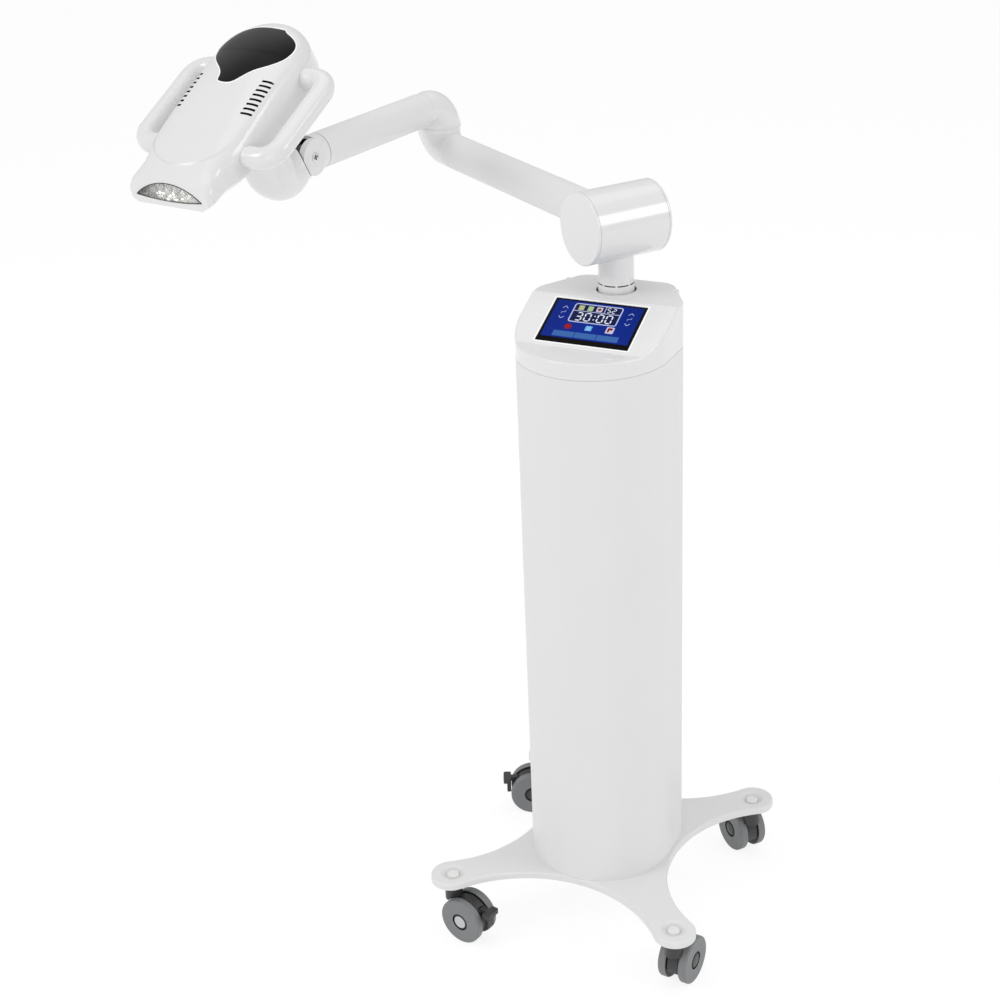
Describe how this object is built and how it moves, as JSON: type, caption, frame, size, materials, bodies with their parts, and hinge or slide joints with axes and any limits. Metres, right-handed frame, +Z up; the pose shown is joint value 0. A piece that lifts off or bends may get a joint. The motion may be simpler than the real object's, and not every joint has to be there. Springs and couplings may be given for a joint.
{
  "type": "teeth_whitening_lamp",
  "caption": "White mobile dental lamp on a four-castor stand with a touch screen cap, jointed arm and a domed light head with two side handles",
  "frame": {"origin": "on the floor under the middle of the base", "axes": "+Z up, +X to the right along the front of the stand, the screen faces -Y"},
  "size_m": [0.8662, 0.6885, 1.3813],
  "materials": {
    "white_metal": "satin",
    "white_shell": "gloss",
    "black_gloss": "gloss",
    "wheel_grey": "matte",
    "dark_plastic": "matte",
    "steel": "brushed",
    "iron": "rough",
    "bronze": "machined",
    "clear_glass": "clear",
    "screen_glass": "gloss",
    "chrome": "mirror",
    "aluminium": "milled",
    "board_green": "matte",
    "white_matte": "matte"
  },
  "bodies": {
    "stand": {"base_plate": "white_metal", "leg_plugs": "white_matte", "castor_stems": "steel", "column_shell": "white_metal", "ballast_block": "iron", "power_supply": "aluminium", "inlet_housing": "dark_plastic", "inlet_pins": "steel", "top_cap": "white_shell", "cap_plugs": "white_matte", "screen_glass": "screen_glass", "display_module": "dark_plastic", "control_board": "board_green", "mast_tube": "white_metal", "post_bushes": "bronze", "slotted_ring": "white_matte"},
    "rocker": {"power_rocker": "dark_plastic"},
    "castor_front_left": {"castor_hood_front_left": "dark_plastic"},
    "wheels_front_left": {"castor_axle_front_left": "steel", "castor_wheels_front_left": "wheel_grey"},
    "brake_front_left": {"castor_brake_front_left": "dark_plastic"},
    "castor_front_right": {"castor_hood_front_right": "dark_plastic"},
    "wheels_front_right": {"castor_axle_front_right": "steel", "castor_wheels_front_right": "wheel_grey"},
    "castor_rear_right": {"castor_hood_rear_right": "dark_plastic"},
    "wheels_rear_right": {"castor_axle_rear_right": "steel", "castor_wheels_rear_right": "wheel_grey"},
    "castor_rear_left": {"castor_hood_rear_left": "dark_plastic"},
    "wheels_rear_left": {"castor_axle_rear_left": "steel", "castor_wheels_rear_left": "wheel_grey"},
    "brake_rear_left": {"castor_brake_rear_left": "dark_plastic"},
    "post": {"post_spindle": "steel", "shoulder_barrel": "white_metal", "barrel_end_near": "white_shell", "barrel_end_far": "white_shell", "shoulder_axle": "steel", "friction_discs": "bronze"},
    "lower_arm": {"shoulder_drum": "aluminium", "lower_arm_tube": "white_metal", "lower_elbow": "white_shell", "elbow_pin": "steel"},
    "forearm": {"upper_elbow": "white_shell", "forearm_tube": "white_metal", "wrist_fork": "white_shell", "wrist_pin": "chrome"},
    "wrist": {"wrist_elbow": "white_shell", "head_pin": "steel"},
    "head": {"head_upper_shell": "white_shell", "head_lower_shell": "white_shell", "head_top_panel": "black_gloss", "handle_left": "white_shell", "handle_right": "white_shell", "lamp_window": "clear_glass", "lamp_reflector": "chrome", "led_lenses": "clear_glass", "led_board": "board_green", "heat_sink": "aluminium", "fan_frame": "dark_plastic"},
    "fan": {"fan_rotor": "dark_plastic"}
  },
  "joints": [
    {"name": "power_switch", "type": "hinge", "parent": "stand", "child": "rocker", "pos_m": [0, 0.123, 0.196], "axis": [1, 0, 0], "range_deg": [0, 12]},
    {"name": "swivel_front_left", "type": "hinge", "parent": "stand", "child": "castor_front_left", "pos_m": [-0.185, -0.185, 0.093], "axis": [0, 0, 1], "continuous": true},
    {"name": "roll_front_left", "type": "hinge", "parent": "castor_front_left", "child": "wheels_front_left", "pos_m": [-0.15766, -0.19106, 0.0375], "axis": [0.2164, 0.9763, 0], "continuous": true},
    {"name": "brake_pedal_front_left", "type": "hinge", "parent": "castor_front_left", "child": "brake_front_left", "pos_m": [-0.1313, -0.1969, 0.059], "axis": [0.2164, 0.9763, 0], "range_deg": [0, 15]},
    {"name": "swivel_front_right", "type": "hinge", "parent": "stand", "child": "castor_front_right", "pos_m": [0.185, -0.185, 0.093], "axis": [0, 0, 1], "continuous": true},
    {"name": "roll_front_right", "type": "hinge", "parent": "castor_front_right", "child": "wheels_front_right", "pos_m": [0.18807, -0.15717, 0.0375], "axis": [-0.994, 0.1097, 0], "continuous": true},
    {"name": "swivel_rear_right", "type": "hinge", "parent": "stand", "child": "castor_rear_right", "pos_m": [0.185, 0.185, 0.093], "axis": [0, 0, 1], "continuous": true},
    {"name": "roll_rear_right", "type": "hinge", "parent": "castor_rear_right", "child": "wheels_rear_right", "pos_m": [0.16294, 0.20224, 0.0375], "axis": [-0.6157, -0.788, 0], "continuous": true},
    {"name": "swivel_rear_left", "type": "hinge", "parent": "stand", "child": "castor_rear_left", "pos_m": [-0.185, 0.185, 0.093], "axis": [0, 0, 1], "continuous": true},
    {"name": "roll_rear_left", "type": "hinge", "parent": "castor_rear_left", "child": "wheels_rear_left", "pos_m": [-0.21038, 0.17317, 0.0375], "axis": [0.4226, -0.9063, 0], "continuous": true},
    {"name": "brake_pedal_rear_left", "type": "hinge", "parent": "castor_rear_left", "child": "brake_rear_left", "pos_m": [-0.23485, 0.16176, 0.059], "axis": [0.4226, -0.9063, 0], "range_deg": [0, 15]},
    {"name": "post_swivel", "type": "hinge", "parent": "stand", "child": "post", "pos_m": [0, 0.073, 1.025], "axis": [0, 0, 1], "range_deg": [-165, 165]},
    {"name": "shoulder_lift", "type": "hinge", "parent": "post", "child": "lower_arm", "pos_m": [0, 0.073, 1.112], "axis": [0.5793, 0.8151, 0], "range_deg": [-20, 30]},
    {"name": "elbow_swivel", "type": "hinge", "parent": "lower_arm", "child": "forearm", "pos_m": [-0.43715, 0.38367, 1.1456], "axis": [0, 0, 1], "range_deg": [-260, 25]},
    {"name": "wrist_pitch", "type": "hinge", "parent": "forearm", "child": "wrist", "pos_m": [-0.4854, 0.036, 1.1792], "axis": [0.9905, -0.1374, 0], "range_deg": [-40, 22]},
    {"name": "head_swivel", "type": "hinge", "parent": "wrist", "child": "head", "pos_m": [-0.49925, -0.06383, 1.21349], "axis": [-0.0679, -0.4893, 0.8695], "range_deg": [-100, 100]},
    {"name": "fan_spin", "type": "hinge", "parent": "head", "child": "fan", "pos_m": [-0.49598, -0.04028, 1.29715], "axis": [-0.0679, -0.4893, 0.8695], "continuous": true}
  ]
}
